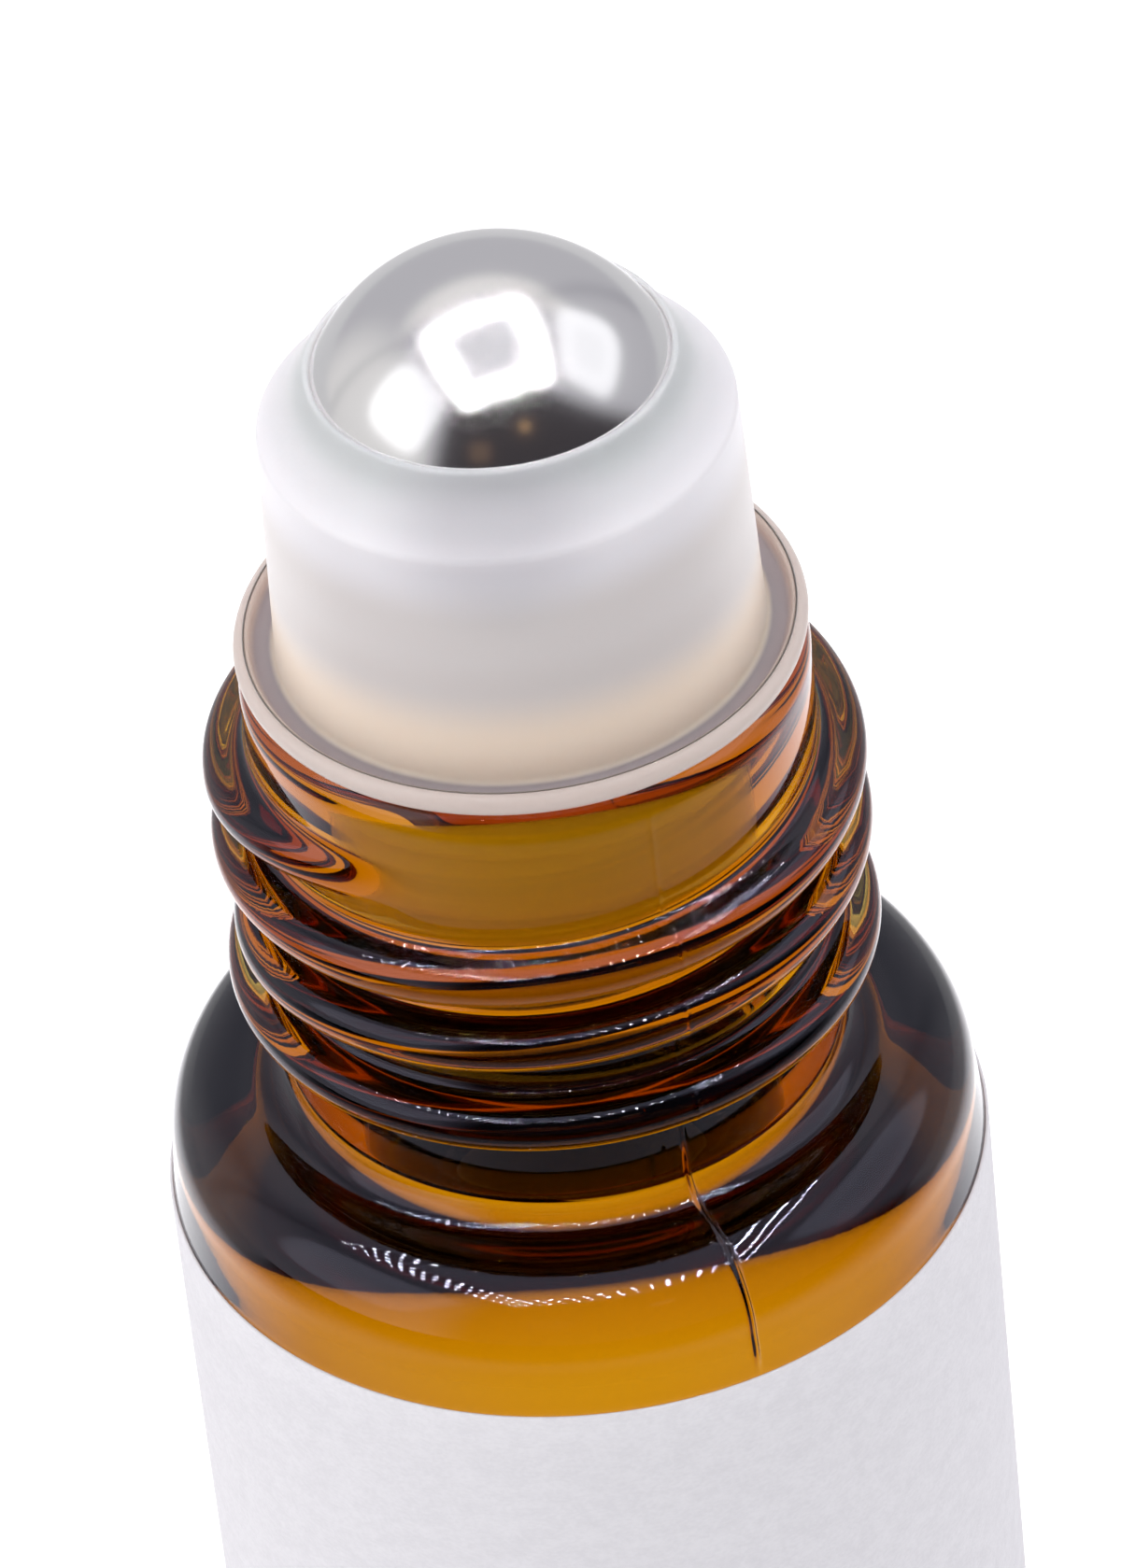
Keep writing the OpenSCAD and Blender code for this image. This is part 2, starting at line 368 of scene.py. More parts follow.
def glass_neck(sizes):
    """The neck's plain wall, from its root to the rounding of the rim."""
    low_z = RIM_Z - sizes.neck_h + sizes.root_round
    return line((sizes.neck_r, low_z), (sizes.neck_r, RIM_Z - sizes.rim_round), 116)


def glass_inner(sizes):
    """The rim and the inside: bore, inner shoulder, side and bottom, down to the axis."""
    inner_r = GLASS_HIGH.x - sizes.wall
    mouth, bore, lip = sizes.mouth_round, sizes.bore_r, sizes.lip_round
    mouth_z = RIM_Z - sizes.neck_h - sizes.shoulder_t
    corner = inner_r - bore - mouth
    low = sizes.base + sizes.floor_round
    return outline(
        arc((sizes.neck_r - sizes.rim_round, RIM_Z - sizes.rim_round), sizes.rim_round, 0, 90, 14),
        line((sizes.neck_r - sizes.rim_round, RIM_Z), (bore + lip, RIM_Z), 2),
        arc((bore + lip, RIM_Z - lip), lip, 90, 180, 6),
        line((bore, RIM_Z - lip), (bore, mouth_z + mouth), 30),
        arc((bore + mouth, mouth_z + mouth), mouth, 180, 270, 12),
        arc((bore + mouth, mouth_z - corner), corner, 90, 0, 22),
        line((inner_r, mouth_z - corner), (inner_r, low), 16),
        arc((inner_r - sizes.floor_round, low), sizes.floor_round, 0, -90, 12),
        line((inner_r - sizes.floor_round, sizes.base), (0, sizes.base), 3),
    )


def glass_angles(sizes):
    """Angles of the columns: even steps, with closer ones over each mould seam."""
    even = np.linspace(0, 2 * math.pi, GLASS_COLUMNS, endpoint=False)
    half_seam, seam_columns = 1.3, 19
    close = np.radians(np.linspace(-half_seam, half_seam, seam_columns))
    seams = [(sizes.seam_at + half_turn + close) % (2 * math.pi) for half_turn in (0, math.pi)]
    return np.unique(np.concatenate((even, *seams)))


def carried(section, angles):
    """The places (r, z) of a section's points at each angle, as two grids of rows and columns."""
    return (np.repeat(section[:, i:i + 1], len(angles), axis=1) for i in (0, 1))


def uneven(angles, z, height, turns, seed):
    """A slow waviness: height * sum of sin(n a + k z + phase) / n for a few whole numbers n."""
    total = np.zeros((len(z), len(angles)))
    for n in turns:
        rise = (90 + 37 * n) * (-1) ** n
        total += np.sin(n * angles[None, :] + rise * z[:, None] + seed * n) / n
    return height * total


def glass_form(sizes, angles):
    """The places (r, z) of every row and column of the glass, and the number of its rows outside."""
    outer, neck, inner = glass_outer(sizes), glass_neck(sizes), glass_inner(sizes)
    section = outline(outer, neck, inner)
    base_z = section[:, 1]
    outward = normals_of(section)
    r, z = carried(section, angles)
    neck_rows = slice(len(outer), len(outer) + len(neck) - 2)
    r[neck_rows], z[neck_rows] = neck_ridges(r[neck_rows], z[neck_rows], angles, sizes)
    row = np.arange(len(section))
    outside = row < len(outer) + len(neck)
    # The label lies on a smooth side, so what stands out fades above its edge, and below the rim
    label_fade, rim_fade = 0.8 * MM, 1.2 * MM
    bare = smooth(base_z, LABEL_HIGH.z, LABEL_HIGH.z + label_fade)
    from_rim = smooth(RIM_Z - base_z, 0, rim_fade)
    off = (angles[None, :] - sizes.seam_at + math.pi / 2) % math.pi - math.pi / 2
    # The seam is much lower on the neck than on the shoulder and the neck's root
    neck_loss, neck_from, neck_full = 0.85, RIM_Z - 11.6 * MM, RIM_Z - 10.8 * MM
    low_down = 1 - neck_loss * smooth(base_z, neck_from, neck_full)
    seam = sizes.seam_h * np.exp(-((off * r / sizes.seam_w) ** 2)) * low_down[:, None]
    wave = uneven(angles, base_z, sizes.wave, (2, 3, 5, 8), 1.7)
    lift = (seam + wave) * (bare * from_rim * outside)[:, None]
    # Inside, the waves begin above the bottom and end in the bore
    bottom_from, bottom_full, bore_end, bore_full = 3 * MM, 8 * MM, 7.5 * MM, 11 * MM
    deep = smooth(base_z, sizes.base + bottom_from, sizes.base + bottom_full)
    below_bore = smooth(RIM_Z - base_z, bore_end, bore_full)
    inner_wave = uneven(angles, base_z, sizes.inner_wave, (1, 2, 3, 5), 0.6)
    lift += inner_wave * (deep * below_bore * ~outside)[:, None]
    r += outward[:, :1] * lift
    z += outward[:, 1:] * lift
    return r, z, len(outer) + len(neck)


def make_bottle(sizes):
    """The glass as one closed turned surface with thread, bead, mould seams and uneven walls."""
    angles = glass_angles(sizes)
    r, z, _ = glass_form(sizes, angles)
    return lathed("amber_bottle", r, z, angles, True)


def make_liquid(sizes):
    """What fills the bottle: the glass's inside turned over, closed by the liquid's surface.

    The surface is flat and climbs to the bore: z = level + climb * exp(-(bore - r) / reach). The
    sides reach a hair into the glass, so that no air shows between the two."""
    angles = glass_angles(sizes)
    r, z, outside = glass_form(sizes, angles)
    level = RIM_Z - sizes.fill_drop
    inside = z[outside:].mean(axis=1) < level
    wall_r = r[outside:][inside][::-1] + sizes.overlap
    wall_z = z[outside:][inside][::-1]
    wall_r[0] = 0
    wall_z[wall_z < sizes.base + sizes.floor_round] -= sizes.overlap
    surface_r = (sizes.bore_r + sizes.overlap) * (1 - np.linspace(0, 1, 25) ** 2)
    climb = sizes.climb * np.exp((surface_r - surface_r[0]) / sizes.climb_reach)
    columns = np.ones((1, len(angles)))
    r = np.concatenate((wall_r, surface_r[:, None] * columns))
    z = np.concatenate((wall_z, (level + climb)[:, None] * columns))
    return lathed("liquid", r, z, angles, True)


def fitment_outer(sizes):
    """The fitment's outer section from the plug's foot to the lip, with its zero at the glass rim."""
    bore = bpy.context.scene.rollon_glass.bore_r
    plug_r = bore - sizes.plug_gap
    plug_l = RIM_Z - HOUSING_LOW.z
    flange_r = HOUSING_HIGH.x
    edge = sizes.flange_t / 2
    pitch = plug_l / (sizes.rib_count + 1)
    rib_r = bore - sizes.rib_gap - sizes.rib_round
    rib_half = math.acos((plug_r - rib_r) / sizes.rib_round)
    turn = math.degrees(rib_half)
    ribs = [
        arc((rib_r, -i * pitch), sizes.rib_round, -turn, turn, 8) for i in range(sizes.rib_count, 0, -1)
    ]
    floor_z = sizes.flange_t - sizes.groove
    small = sizes.groove_round
    rise_r = flange_r - sizes.edge_w
    foot_r = BALL_R + sizes.ball_gap + sizes.barrel_t + sizes.barrel_draft
    return outline(
        line((plug_r - sizes.lead_in, -plug_l), (plug_r, sizes.lead_in_h - plug_l), 3),
        *ribs,
        line((plug_r, -pitch / 2), (plug_r, 0), 2),
        line((plug_r, 0), (flange_r - edge, 0), 3),
        arc((flange_r - edge, edge), edge, -90, 90, 16),
        arc((rise_r + small, sizes.flange_t - small), small, 90, 180, 6),
        arc((rise_r - small, floor_z + small), small, 0, -90, 6),
        arc((foot_r + small, floor_z + small), small, -90, -180, 6),
        barrel(sizes, foot_r, floor_z + small),
    )


def barrel(sizes, foot_r, low_z):
    """The barrel above the groove: a wall that draws in, a rounded corner, and a slightly hollow
    slope up to the lip, as a quadratic curve."""
    top_r = foot_r - sizes.barrel_draft
    edge = lip_edge(sizes)[0]
    lip = arc((edge[0][0], sizes.lip_top - sizes.lip_round), sizes.lip_round, 40, 90, 8)
    bend = ((top_r, sizes.barrel_h) + lip[0]) / 2 - sizes.dome_dip
    lean = math.atan(sizes.barrel_draft / sizes.barrel_h)
    slope = math.atan2(top_r - bend[0], bend[1] - sizes.barrel_h)
    middle = (lean + slope) / 2
    reach = sizes.corner / math.cos((slope - lean) / 2)
    corner_mid = np.array((top_r - reach * math.cos(middle), sizes.barrel_h - reach * math.sin(middle)))
    corner = arc(corner_mid, sizes.corner, math.degrees(lean), math.degrees(slope), 14)
    share = np.linspace(0, 1, 31)[:, None]
    hollow = (1 - share) ** 2 * corner[-1] + 2 * share * (1 - share) * bend + share**2 * lip[0]
    return outline(line((foot_r, low_z), corner[0], 24), corner, hollow, lip, edge)


def lip_edge(sizes):
    """The lip's rounded inner edge beside the ball, and its angle in degrees above the ball's middle."""
    mid_z = BALL_Z - RIM_Z
    reach = BALL_R + sizes.lip_gap + sizes.lip_edge
    edge_z = sizes.lip_top - sizes.lip_edge
    angle = math.asin((edge_z - mid_z) / reach)
    centre = (reach * math.cos(angle), edge_z)
    return arc(centre, sizes.lip_edge, 90, 180 + math.degrees(angle), 8), math.degrees(angle)


def fitment_inner(sizes):
    """The fitment's inside: the cup round the ball, the feed hole, the seat and the plug's hollow."""
    cup = BALL_R + sizes.ball_gap
    under = cup + sizes.seat_t
    mid_z = BALL_Z - RIM_Z
    plug_r = bpy.context.scene.rollon_glass.bore_r - sizes.plug_gap
    hollow_r = plug_r - sizes.plug_t
    feed, low = sizes.feed_r, HOUSING_LOW.z - RIM_Z
    lip_low = lip_edge(sizes)[1]
    hole = math.degrees(math.acos(feed / cup))
    hole_under = math.degrees(math.acos(feed / under))
    wall_under = math.degrees(math.acos(hollow_r / under))
    # The cup opens from the lip's gap to the running gap within its upper degrees
    opening = 20
    turn = np.linspace(lip_low, -hole, 41)
    gap = sizes.ball_gap + (sizes.lip_gap - sizes.ball_gap) * smooth(turn, lip_low - opening, lip_low)
    reach = BALL_R + gap
    seat = np.column_stack((reach * np.cos(np.radians(turn)), mid_z + reach * np.sin(np.radians(turn))))
    return outline(
        seat,
        arc((0, mid_z), under, -hole_under, -wall_under, 10),
        line((hollow_r, mid_z - under * math.sin(math.radians(wall_under))), (hollow_r, low), 12),
    )


def make_housing(sizes):
    """The fitment as one closed ring-shaped surface, with flow grooves sunk into its seat."""
    angles = np.linspace(0, 2 * math.pi, FITMENT_COLUMNS, endpoint=False)
    outer, inner = fitment_outer(sizes), fitment_inner(sizes)
    section = outline(outer, inner)
    r, z = carried(section + (0, RIM_Z), angles)
    # A flow groove moves the seat away from the middle of the ball, below that middle
    step = 2 * math.pi / sizes.flow_count
    beside = np.abs((angles[None, :] + step / 2) % step - step / 2) * r
    soft, below_middle = 0.05 * MM, 0.3 * MM
    groove = smooth(sizes.flow_w / 2 - beside, -soft, soft)
    away_z = z - BALL_Z
    distance = np.hypot(r, away_z)
    in_cup = (distance < BALL_R + sizes.ball_gap + soft) & (away_z < -below_middle)
    depth = sizes.flow_h * groove * in_cup
    r += depth * r / distance
    z += depth * away_z / distance
    return lathed("fitment", r, z, angles, False)


def make_ball():
    """The ball: (R sin p cos a, R sin p sin a, R cos p) about its middle, in even steps of p and a."""
    polar = math.pi - np.linspace(0, math.pi, BALL_ROWS + 1)
    angles = np.linspace(0, 2 * math.pi, BALL_COLUMNS, endpoint=False)
    r, z = carried(np.column_stack((BALL_R * np.sin(polar), BALL_Z + BALL_R * np.cos(polar))), angles)
    return lathed("roller_ball", r, z, angles, True)


def make_label(sizes):
    """The paper: a thin shell round the glass, which leaves the glass bare over a strip at the back.

    Its section is a closed loop of inner side, cut bottom, outer side and cut top, carried from one
    end of the paper to the other, and both ends are closed."""
    body_r = GLASS_HIGH.x
    inner = body_r + sizes.glue
    outer = LABEL_HIGH.x
    low, high = LABEL_LOW.z, LABEL_HIGH.z
    half_gap = math.acos(LABEL_HIGH.y / LABEL_HIGH.x)
    angles = np.linspace(math.pi / 2 + half_gap, 2.5 * math.pi - half_gap, LABEL_COLUMNS)
    soft = 0.3 * (outer - inner)
    section = outline(
        line((inner, high), (inner, low), 41),
        line((outer - soft, low), (outer, low + soft), 1),
        line((outer, low + soft), (outer, high - soft), 40),
        line((outer - soft, high), (inner + soft, high), 1),
    )
    r, z = carried(section, angles)
    ragged = uneven(angles, section[:, 1], sizes.uneven / 2, (3, 5, 9, 17, 31), 0.9)
    # Only the upper edge is cut unevenly, and the sides follow it over a short height
    follow = 3 * MM
    z += (ragged - sizes.uneven) * smooth(section[:, 1], high - follow, high)[:, None]
    turned = np.stack((r * np.cos(angles), r * np.sin(angles), z), axis=-1)
    rows, columns = r.shape
    quads = grid_faces(rows, columns, True, False)
    inside, outside = np.arange(rows // 2), np.arange(rows - 1, rows // 2 - 1, -1)
    steps = min(len(inside), len(outside)) - 1
    corners = (inside[:steps], inside[1:steps + 1], outside[1:steps + 1], outside[:steps])
    pairs = np.column_stack(corners) * columns
    ends = pairs, pairs[:, ::-1] + columns - 1
    return put_in_mesh("paper_label", turned.reshape(-1, 3), quads, *ends)


def new_material(name):
    """An empty node material. Gives the material, its node tree and its output node."""
    material = bpy.data.materials.new(name)
    material.use_nodes = True
    tree = material.node_tree
    tree.nodes.clear()
    return material, tree, tree.nodes.new("ShaderNodeOutputMaterial")


def node(tree, kind, inputs=None, **settings):
    """A new shader node. inputs maps a socket's name or number to a value or to a socket."""
    made = tree.nodes.new(kind)
    for key, value in settings.items():
        setattr(made, key, value)
    for key, value in (inputs or {}).items():
        if isinstance(value, bpy.types.NodeSocket):
            tree.links.new(value, made.inputs[key])
        else:
            made.inputs[key].default_value = value
    return made


def tree_of(*values):
    """The node tree that the first socket among these values is in."""
    return next(value.id_data for value in values if isinstance(value, bpy.types.NodeSocket))


def calc(operation, *values, clamp=False):
    """The output of a new Math node with these values or sockets, at least one of them a socket."""
    inputs = dict(enumerate(values))
    made = node(tree_of(*values), "ShaderNodeMath", inputs, operation=operation, use_clamp=clamp)
    return made.outputs[0]


def times(first, second):
    """The product of two values or sockets, as a socket."""
    return calc("MULTIPLY", first, second)


def plus(first, second):
    """The sum of two values or sockets, as a socket."""
    return calc("ADD", first, second)


def minus(first, second):
    """The first value or socket less the second, as a socket."""
    return calc("SUBTRACT", first, second)


def vector_calc(operation, *values, gives="Value"):
    """An output of a new Vector Math node with these vectors or sockets."""
    made = node(tree_of(*values), "ShaderNodeVectorMath", dict(enumerate(values)), operation=operation)
    return made.outputs[gives]


def own_place(tree):
    """Object coordinates, as a socket."""
    return node(tree, "ShaderNodeTexCoord").outputs["Object"]


def axes_of(vector):
    """The x, y and z of a vector, as three sockets."""
    parts = node(vector.id_data, "ShaderNodeSeparateXYZ", {0: vector})
    return tuple(parts.outputs[axis] for axis in "XYZ")


def step_up(value, low, high):
    """0 below low and 1 above high, smooth between them, as a socket."""
    sockets = {"Value": value, "From Min": low, "From Max": high}
    made = node(value.id_data, "ShaderNodeMapRange", sockets, interpolation_type="SMOOTHSTEP")
    return made.outputs["Result"]


def blend_colour(share, first, second):
    """The mix of two colours by a share from 0 to 1, as a socket."""
    inputs = {0: share}
    for index, value in ((6, first), (7, second)):
        inputs[index] = value if isinstance(value, bpy.types.NodeSocket) else (*value, 1)
    return node(share.id_data, "ShaderNodeMix", inputs, data_type="RGBA").outputs[2]


def glow(tree, kind, colour, strength):
    """The output of an Emission or a Background node."""
    return node(tree, kind, {"Color": (*colour, 1), "Strength": strength}).outputs[0]


def mix_shaders(share, first, second):
    """The mix of two shaders by a share from 0 to 1, as a socket."""
    return node(share.id_data, "ShaderNodeMixShader", {0: share, 1: first, 2: second}).outputs[0]


def principled(tree, **inputs):
    """The output of a Principled shader. An input's name has _ where its socket's name has a space."""
    sockets = {name.replace("_", " "): value for name, value in inputs.items()}
    return node(tree, "ShaderNodeBsdfPrincipled", sockets).outputs[0]


def let_lamps_through(tree, output, shader):
    """Puts a clear shader on a material's surface, which casts no shadow, so that lamps shine
    through it."""
    clear = node(tree, "ShaderNodeBsdfTransparent", {"Color": (1, 1, 1, 1)})
    shadow = node(tree, "ShaderNodeLightPath").outputs["Is Shadow Ray"]
    tree.links.new(mix_shaders(shadow, shader, clear.outputs[0]), output.inputs["Surface"])


def relief_group():
    """A shader group that several finishes share: a fine relief from two sizes of noise."""
    made = bpy.data.node_groups.get("fine_relief")
    if made:
        return made
    made = bpy.data.node_groups.new("fine_relief", "ShaderNodeTree")
    sockets = (("Vector", "Vector"), ("Coarse", "Float"), ("Fine", "Float"), ("Fine Share", "Float"))
    for name, kind in sockets:
        made.interface.new_socket(name, in_out="INPUT", socket_type="NodeSocket" + kind)
    made.interface.new_socket("Height", in_out="OUTPUT", socket_type="NodeSocketFloat")
    come = made.nodes.new("NodeGroupInput").outputs
    leave = made.nodes.new("NodeGroupOutput")
    noises = []
    for name, detail in (("Coarse", 2.0), ("Fine", 3.0)):
        sockets = {"Vector": come["Vector"], "Scale": come[name], "Detail": detail}
        noises.append(node(made, "ShaderNodeTexNoise", sockets).outputs["Fac"])
    mixed = node(made, "ShaderNodeMix", {0: come["Fine Share"], 2: noises[0], 3: noises[1]})
    made.links.new(mixed.outputs[0], leave.inputs["Height"])
    return made


def relief(tree, scale, coarse, fine, fine_share):
    """The height of a fine relief on Object coordinates scaled by a vector, as a socket."""
    mapped = node(tree, "ShaderNodeMapping", {"Vector": own_place(tree), "Scale": scale})
    made = node(tree, "ShaderNodeGroup")
    made.node_tree = relief_group()
    tree.links.new(mapped.outputs["Vector"], made.inputs["Vector"])
    for name, value in (("Coarse", coarse), ("Fine", fine), ("Fine Share", fine_share)):
        made.inputs[name].default_value = value
    return made.outputs["Height"]


def bump(height, distance):
    """The normal of a Bump node, as a socket."""
    inputs = {"Height": height, "Distance": distance}
    return node(height.id_data, "ShaderNodeBump", inputs).outputs["Normal"]


def amber_glass(finishes):
    """Smooth container glass, coloured by its depth, with a faint ripple."""
    material, tree, output = new_material("amber_glass")
    ripple = relief(tree, (1, 1, 0.3), 260, 1500, 0.15)
    glass = principled(
        tree,
        Base_Color=(1, 1, 1, 1),
        Roughness=0.0,
        IOR=1.52,
        Transmission_Weight=1.0,
        # The bluish specular tint is a painted navy cast on the glass's reflections
        Specular_Tint=(0.76, 0.76, 1, 1),
        Normal=bump(ripple, 0.012 * MM),
    )
    let_lamps_through(tree, output, glass)
    depth = {"Color": (*finishes.amber, 1), "Density": finishes.amber_depth}
    inside = node(tree, "ShaderNodeVolumeAbsorption", depth)
    tree.links.new(inside.outputs[0], output.inputs["Volume"])
    return material


def clear_liquid():
    """A clear thin liquid."""
    material, tree, output = new_material("clear_liquid")
    liquid = principled(
        tree, Base_Color=(1, 1, 1, 1), Roughness=0.0, IOR=1.36, Transmission_Weight=1.0
    )
    let_lamps_through(tree, output, liquid)
    return material


def white_plastic(finishes):
    """Translucent moulded plastic: light travels in it, and its tone changes with the height over the rim:
    painted amber light makes it warm beside the glass, painted shade darkens its lower barrel, groove and
    the lip in front of the ball, and painted light makes it pale round the ball."""
    material, tree, output = new_material("white_plastic")
    place = own_place(tree)
    z = axes_of(place)[2]
    # The plug's tone is white plastic with painted light
    base = finishes.plastic_plug_with_painted_light
    # Each tone comes in between two heights over the rim, in millimetres. All but the barrel's own colour
    # are painted: amber light at the foot, shade on the low barrel and in front of the seat, and light
    # round the ball
    tones = (
        (-0.2, 0.2, finishes.plastic_foot_painted_amber_light),
        (1.4, 3.0, finishes.plastic_low_painted_shade),
        (3.0, 4.0, finishes.plastic_seat_painted_shade),
        (4.8, 6.2, finishes.plastic),
        (7.1, 7.9, finishes.plastic_top_painted_light),
    )
    for low, high, tone in tones:
        base = blend_colour(step_up(z, RIM_Z + low * MM, RIM_Z + high * MM), base, tone)
    # Painted shade of the dark ball, as if it showed through the thin lip and the wall under it, in front
    # of its dark side
    ball_shade_centre = (-0.4 * MM, -BALL_R, BALL_Z + 1.1 * MM)
    reach, core, most = 3.2 * MM, 0.8 * MM, 0.5
    crest_low, crest_high = RIM_Z + 8.24 * MM, RIM_Z + 8.34 * MM
    away = vector_calc("DISTANCE", place, ball_shade_centre)
    painted_ball_shade = times(step_up(away, reach, core), most)
    painted_ball_shade = times(painted_ball_shade, step_up(z, crest_high, crest_low))
    base = blend_colour(painted_ball_shade, base, finishes.plastic_lip_painted_ball_shade)
    # The flange's groove and raised edge come in between two radii, in millimetres, with painted shade in
    # the groove and painted shade and amber light on the raised edge
    flat = vector_calc("MULTIPLY", place, (1, 1, 0), gives="Vector")
    out = vector_calc("LENGTH", flat)
    rings = ((5.85, 6.0, finishes.plastic_groove_painted_shade), (6.27, 6.45, finishes.plastic_flange_painted_shade_and_amber))
    for low, high, tone in rings:
        base = blend_colour(step_up(out, low * MM, high * MM), base, tone)
    shader = principled(
        tree,
        Base_Color=base,
        Roughness=0.38,
        IOR=1.5,
        Subsurface_Weight=1.0,
        Subsurface_Radius=(1.0, 0.92, 0.9),
        Subsurface_Scale=finishes.plastic_depth,
        Normal=bump(relief(tree, (1, 1, 1), 700, 6000, 0.5), 0.006 * MM),
    )
    tree.links.new(shader, output.inputs["Surface"])
    return material


def ball_steel(finishes):
    """Ground and polished steel with fine rolling marks."""
    material, tree, output = new_material("ball_steel")
    marks = relief(tree, (1, 3, 3), 2500, 9000, 0.6)
    rough, change = finishes.steel_rough, 0.03
    sockets = {"Value": marks, "To Min": rough - change, "To Max": rough + change}
    shader = principled(
        tree,
        Base_Color=(*finishes.steel, 1),
        Metallic=1.0,
        Roughness=node(tree, "ShaderNodeMapRange", sockets).outputs["Result"],
        Normal=bump(marks, 0.0006 * MM),
    )
    tree.links.new(shader, output.inputs["Surface"])
    return material


def label_paper(finishes):
    """Uncoated paper with a fine grain of fibres."""
    material, tree, output = new_material("label_paper")
    fibre = relief(tree, (1, 1, 1.6), 1500, 7000, 0.55)
    darker = 0.06
    shade = [max(0.0, channel - darker) for channel in finishes.paper]
    shader = principled(
        tree,
        Base_Color=blend_colour(step_up(fibre, 0.3, 0.7), shade, finishes.paper),
        Roughness=0.75,
        Specular_IOR_Level=0.3,
        Normal=bump(fibre, 0.02 * MM),
    )
    tree.links.new(shader, output.inputs["Surface"])
    return material


def dress(piece, material, body, replaced):
    """Gives a piece its material, hangs it under its body, and hides the CAD node that it replaces."""
    piece.data.materials.append(material)
    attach(piece, body)
    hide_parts(replaced)


def facing(direction, azimuth, elevation, turn=0):
    """Where a direction meets a flat panel that faces the middle of the tent.

    The panel's middle lies in the direction given by azimuth and elevation, and it is turned in its
    own plane, all in degrees. Gives the two places on it, as tangents of angles, and 1 in front of
    it or 0."""
    azimuth, elevation, turn = (math.radians(angle) for angle in (azimuth, elevation, turn))
    flat = math.cos(elevation)
    middle = Vector((flat * math.cos(azimuth), flat * math.sin(azimuth), math.sin(elevation)))
    side = Vector((-math.sin(azimuth), math.cos(azimuth), 0))
    top = middle.cross(side)
    across = side * math.cos(turn) + top * math.sin(turn)
    along = top * math.cos(turn) - side * math.sin(turn)
    reach, a, b = (vector_calc("DOT_PRODUCT", direction, axis) for axis in (middle, across, along))
    grazing, in_front = 0.05, 0.15
    safe = calc("MAXIMUM", reach, grazing)
    front = step_up(reach, grazing, in_front)
    return calc("DIVIDE", a, safe), calc("DIVIDE", b, safe), front


def soft_panel(place, half_w, half_h, soft):
    """1 on a panel with rounded corners and 0 off it: (a / w)^4 + (b / h)^4 below 1, with soft edges."""
    across, along, front = place
    powers = (
        calc("POWER", calc("DIVIDE", calc("ABSOLUTE", value), half), 4.0)
        for value, half in ((across, half_w), (along, half_h))
    )
    return times(step_up(plus(*powers), 1 + soft, 1 - soft), front)


def spot(direction, azimuth, elevation, half):
    """1 on a small soft spot of the tent and 0 off it. The angles are in degrees."""
    return soft_panel(facing(direction, azimuth, elevation), half, half, 0.95)


def lit_wall(place, half_w, half_h):
    """A lit panel of the tent's wall as a level of light, a little less bright in its middle."""
    level, dip, dip_share = 0.75, 0.12, 0.5
    whole = soft_panel(place, half_w, half_h, 0.55)
    middle = soft_panel(place, dip_share * half_w, dip_share * half_h, 0.95)
    return times(whole, minus(level, times(middle, dip)))


def lamp_ring(place, mirror):
    """The square ring of small lamps in the tent's roof, as a level of light.

    The ring's sides and the lamps' pitch are tangents of angles, and a lamp's radii are shares of
    the pitch."""
    outer, inner, soft, pitch = 0.50, 0.35, 0.015, 0.058
    lamp_full, lamp_end, lamp_level, between = 0.07, 0.15, 200.0, -0.3
    even_level = 1.68
    across, along, front = place
    far = calc("MAXIMUM", calc("ABSOLUTE", across), calc("ABSOLUTE", along))
    on = times(step_up(far, inner - soft, inner + soft), front)
    on = times(on, minus(1.0, step_up(far, outer - soft, outer + soft)))
    squares = []
    for value in (across, along):
        off = minus(calc("FRACT", calc("DIVIDE", value, pitch)), 0.5)
        squares.append(times(off, off))
    off_lamp = calc("SQRT", plus(*squares))
    lamp = minus(1.0, step_up(off_lamp, lamp_full, lamp_end))
    dots = plus(times(lamp, lamp_level), between)
    # A mirror shows the lamps, and all other light comes from them as one even ring
    level = node(mirror.id_data, "ShaderNodeMix", {0: mirror, 2: even_level, 3: dots}).outputs[0]
    return times(on, level)


def tent_walls(x, y, z):
    """The tent's grey walls, paler on the left and high up behind, with a dark fold at two corners."""
    wall = blend_colour(step_up(x, -0.55, -0.85), (0.56, 0.55, 0.58), (0.86, 0.84, 0.83))
    high = times(step_up(z, 0.60, 0.76), step_up(y, 0.30, 0.50))
    wall = blend_colour(high, wall, (0.95, 0.92, 0.90))
    around = calc("ARCTAN2", y, x)
    depth = 0.3
    for angle, half in ((155, 5), (51, 8)):
        away = calc("ABSOLUTE", minus(around, math.radians(angle)))
        fold = times(step_up(away, math.radians(half), 0.0), depth)
        wall = blend_colour(fold, wall, (0.2, 0.2, 0.24))
    return wall


def open_front(direction, x, y, z, mirror):
    """Where the tent is open in front, from 0 to 1, and the colour of the room out there. A mirror
    shows the room dark, with two warm lights far off. Its other light is an even grey."""
    towards = calc("ARCTAN2", times(y, -1.0), x)
    slanted = minus(towards, times(z, math.radians(50)))
    from_right = step_up(slanted, math.radians(-6), math.radians(10))
    front = times(from_right, step_up(towards, math.radians(138), math.radians(122)))
    right_light, left_light = spot(direction, 289, 38, 0.05), spot(direction, 257, 27, 0.10)
    room = blend_colour(right_light, (0.05, 0.043, 0.048), (0.60, 0.36, 0.18))
    room = blend_colour(left_light, room, (0.17, 0.11, 0.08))
    return front, blend_colour(mirror, (0.42, 0.42, 0.42), room)


